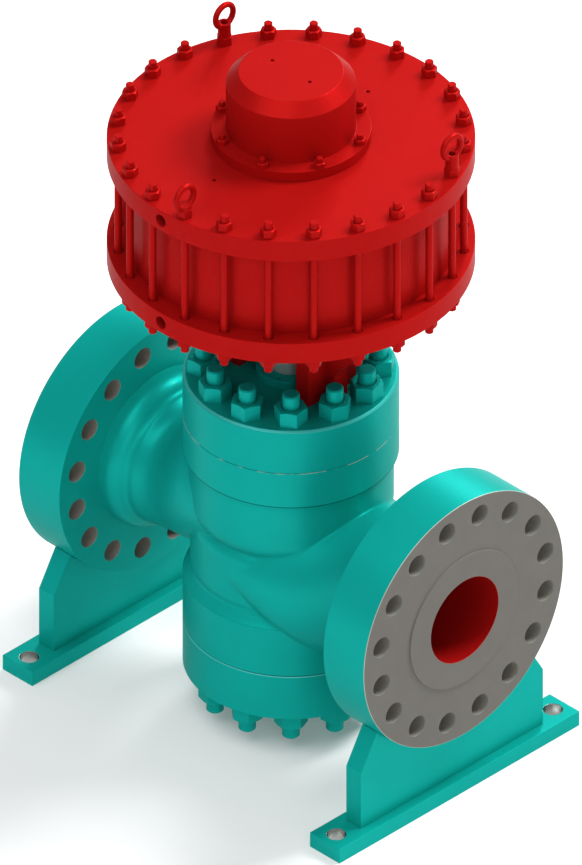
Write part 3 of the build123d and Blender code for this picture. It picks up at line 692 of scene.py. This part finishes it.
outlet_side = x.above(0.0, wide)
rise = inlet_slope * body_paint.math("MAXIMUM", inlet_bend - side, 0.0) * (1 - outlet_side)
rise = rise - outlet_slope * body_paint.math("MAXIMUM", outlet_bend - side, 0.0) * outlet_side
oval = body_paint.length(y / passage_half_width, (height - rise) / passage_half_height)
tube = oval.below(1.0, oval_blur) * side.below(passage_end, wide)
bore = pipe.below(lining_radius, crisp) * side.above(bore_start, wide)
core = stem.below(chamber_lining_radius, gentle) * side.below(passage_end, wide)
waterway = body_paint.math("MAXIMUM", body_paint.math("MAXIMUM", tube, bore), core)

angle = body_paint.math("ARCTAN2", height, y)
offset = body_paint.math("FLOORED_MODULO", angle, bolt_step) - bolt_step / 2
hole_distance = body_paint.math("SQRT", pipe * pipe + bolt_circle_radius ** 2
                                - 2 * bolt_circle_radius * pipe * body_paint.math("COSINE", offset))
holes = hole_distance.below(hole_wall_radius, crisp) * side.within(hole_back, hole_front, crisp)
face = side.above(face_start, crisp) * pipe.above(lining_radius, crisp)
# bare metal chamfer round each flange face, with a painted highlight that makes it far lighter than the bare
# face
rim = rim_highlight_share * side.above(rim_start, crisp) * pipe.above(rim_radius, narrow)
closure = stem.above(closure_edge_radius, narrow) * side.below(closure_reach, wide)
broken = dashed(body_paint, vector)
# painted highlight: a pale dashed line on the body's top edge at the bonnet joint
top_edge_highlight = top_highlight_share * z.above(top_highlight_start, narrow) * closure * broken
# painted shadow: a near-black line at the lower edge of the body's top flange and at its bottom edge above the
# cover
shadow_line_mask = closure * body_paint.math(
    "MAXIMUM", z.within(overhang_shadow_low, overhang_shadow_high, gentle), z.below(bottom_shadow_end, gentle))

# %% Colours and relief of the casting
tool_pitch, tool_relief = 5200.0, 0.5
face_scale = 25.0
face_colours = ((0.135, 0.128, 0.114, 1), (0.155, 0.146, 0.131, 1))
hole_colour = (0.30, 0.28, 0.245, 1)
lining_colour = (0.36, 0.0062, 0.0055, 1)
face_roughness = 0.22

turning = body_paint.math("SINE", pipe * tool_pitch) * face
face_grey = body_paint.mix(body_paint.noise(vector, face_scale, 3.0), *face_colours)
# the painted shadow lines and the painted highlights on the edges are mixed into the colour here
colour = body_paint.mix(shadow_line_mask, base, shadow_line)
colour = body_paint.mix(top_edge_highlight, colour, bare_and_highlight)
colour = body_paint.mix(face, colour, face_grey)
colour = body_paint.mix(rim, colour, bare_and_highlight)
colour = body_paint.mix(holes, colour, hole_colour)
colour = body_paint.mix(waterway, colour, lining_colour)
body_paint.set("Base Color", colour)
body_paint.set("Roughness", rough + face_roughness * face)
body_paint.set("Metallic", flake_share * (1 - face))
cast = side.below(cast_reach, cast_reach_blur) * z.within(cast_low, cast_high, cast_blur)
soft = body_paint.node("ShaderNodeBevel", {"samples": 6}, {"Radius": valley_round})
flat = body_paint.node("ShaderNodeNewGeometry", {}, {}, "Normal")
body_paint.bump(grain + tool_relief * turning, grain_height, grain_strength,
                Normal=body_paint.mix(cast, flat, soft, "VECTOR"))
wear(body_paint, "teal_paint", "cast_body")

# %% [markdown]
# ## Joints and foot holes
# A pale line is painted along the joint between a closure and the body as a highlight on its edge, broken into
# dashes on the bonnet, and a pale band is painted as a highlight on the bonnet's top chamfer. The foot bars'
# holes were reamed after painting, so their walls are bright.

# %% Bonnet, cover and foot bars
# a lighter teal, painted as a highlight on the joint edges and on the bonnet's top chamfer
edge_highlight_teal = (0.085, 0.52, 0.49, 1)
chamfer_low, chamfer_inner = 0.7425, 0.1972
chamfer_highlight_share = 0.5
line_radius = closure_radius - 0.0022
line_blur = 0.0005
bonnet_line, cover_line = (0.6495, 0.6524), (0.1866, 0.1905)

for name, (low, high), whole in (("bonnet_flange", bonnet_line, 0.0), ("cover_flange", cover_line, 1.0)):
    finish, vector, (x, y, z), base, *_ = painted(name + "_paint", teal)
    radius = finish.length(x, y)
    broken = dashed(finish, vector)
    # painted highlight: a pale line on the closure's edge at the joint, dashed on the bonnet, and a pale band
    # on the bonnet's top chamfer
    line = radius.above(line_radius, narrow) * z.within(low, high, line_blur)
    chamfer = chamfer_highlight_share * z.above(chamfer_low, line_blur) * radius.above(chamfer_inner, line_blur)
    line = finish.math("MAXIMUM", line * finish.math("MAXIMUM", broken, whole), chamfer)
    finish.set("Base Color", finish.mix(line, base, edge_highlight_teal))
    wear(finish, "teal_paint", name)

foot_hole_x, foot_hole_y, foot_hole_radius = 0.4045, 0.285, 0.01825
foot_wall_radius = foot_hole_radius + 0.0005
reamed_gloss = 0.22
foot_paint, _, (x, y, _), base, rough, _ = painted("foot_paint", teal)
wall = foot_paint.length(abs(x) - foot_hole_x, abs(y) - foot_hole_y).below(foot_wall_radius, crisp)
foot_paint.set("Base Color", foot_paint.mix(wall, base, steel))
foot_paint.set("Metallic", flake_share + (1 - flake_share) * wall)
foot_paint.set("Roughness", rough - reamed_gloss * wall)
wear(foot_paint, "teal_paint", "foot_inlet", "foot_outlet")

# %% [markdown]
# ## Steel, bronze, packing and rubber
# Turned metal keeps fine rings from the tool, a casting a coarse skin, and soft rings are matt. One function
# makes them all: two tones mixed by noise, which is squeezed into rings on turned work and left even on the
# rest, with the roughness and the relief following it.

# %% The inner materials
raw_specular = 0.4
raw_roughness_range = 0.15
raw_strength = 0.5


def raw(name, dark, light, metallic, rough, scale, squeeze, relief):
    """Two tones in noise that is squeezed along Z, into rings where squeeze is large."""
    finish = Finish(name, {"Metallic": metallic, "Specular IOR Level": raw_specular})
    vector = finish.place()[0]
    squeezed = finish.node("ShaderNodeVectorMath", {"operation": "MULTIPLY"},
                           {0: vector, 1: (1.0, 1.0, squeeze)})
    pattern = finish.noise(squeezed, scale, 4.0)
    finish.set("Base Color", finish.mix(pattern, (*dark, 1), (*light, 1)))
    finish.set("Roughness", rough + raw_roughness_range * pattern)
    finish.bump(pattern, relief, raw_strength)
    return finish


polished = raw("polished_steel", (0.58, 0.58, 0.57), (0.74, 0.74, 0.73), 0.75, 0.36, 8.0, 60.0, 0.00002)
trim = raw("trim_steel", (0.40, 0.40, 0.38), (0.58, 0.58, 0.56), 1.0, 0.26, 8.0, 60.0, 0.00004)
machined = raw("machined_steel", (0.26, 0.26, 0.25), (0.44, 0.44, 0.43), 1.0, 0.34, 10.0, 40.0, 0.00005)
cast_metal = raw("cast_metal", (0.12, 0.12, 0.12), (0.22, 0.22, 0.215), 0.8, 0.50, 60.0, 1.0, 0.0003)
spring_steel = raw("spring_steel", (0.05, 0.05, 0.055), (0.12, 0.12, 0.13), 0.7, 0.45, 90.0, 1.0, 0.0001)
bronze = raw("bronze", (0.42, 0.26, 0.10), (0.60, 0.40, 0.17), 1.0, 0.30, 8.0, 60.0, 0.00004)
gasket_metal = raw("gasket_metal", (0.25, 0.24, 0.22), (0.45, 0.44, 0.41), 0.8, 0.40, 20.0, 80.0, 0.0001)
packing = raw("packing", (0.62, 0.61, 0.57), (0.76, 0.75, 0.71), 0.0, 0.55, 120.0, 1.0, 0.0001)
seal_rubber = raw("seal_rubber", (0.012, 0.012, 0.012), (0.028, 0.028, 0.028), 0.0, 0.55, 150.0, 1.0, 0.00005)
wear(polished, "polished_steel", "valve_stem", "actuator_rod")
wear(trim, "trim_steel", "seat_ring", "cage", "plug", "plug_nut")
wear(machined, "machined_steel", "coupling_half_front", "coupling_half_rear", "coupling_clamp_screws",
     "piston_nut")
wear(cast_metal, "cast_metal", "piston")
wear(spring_steel, "spring_steel", "return_spring")
wear(bronze, "bronze", "stem_bush", "rod_bush")
wear(gasket_metal, "gasket_metal", "bonnet_gasket", "cover_gasket", "seat_gasket", "cage_gasket")
wear(packing, "packing", "packing_rings", "piston_guide_ring")
wear(seal_rubber, "seal_rubber", "plug_seal", "piston_seal", "rod_seal", "cylinder_seal_lower",
     "cylinder_seal_upper")

# %% [markdown]
# ## Floor finish
# The floor is matt and nearly white, and glows a little, so that the ground stays pale under the soft boxes. A
# brighter lamp would lighten it too, but would wash out the paint.

# %% Floor finish
floor_grey = (0.80, 0.80, 0.80, 1)
floor_roughness = 0.9
floor_glow = 0.12

pale = Finish("pale_floor", {"Base Color": floor_grey, "Roughness": floor_roughness,
                             "Specular IOR Level": 0.0, "Emission Color": (1.0, 1.0, 1.0, 1),
                             "Emission Strength": floor_glow})
floor.data.materials.append(pale.material)
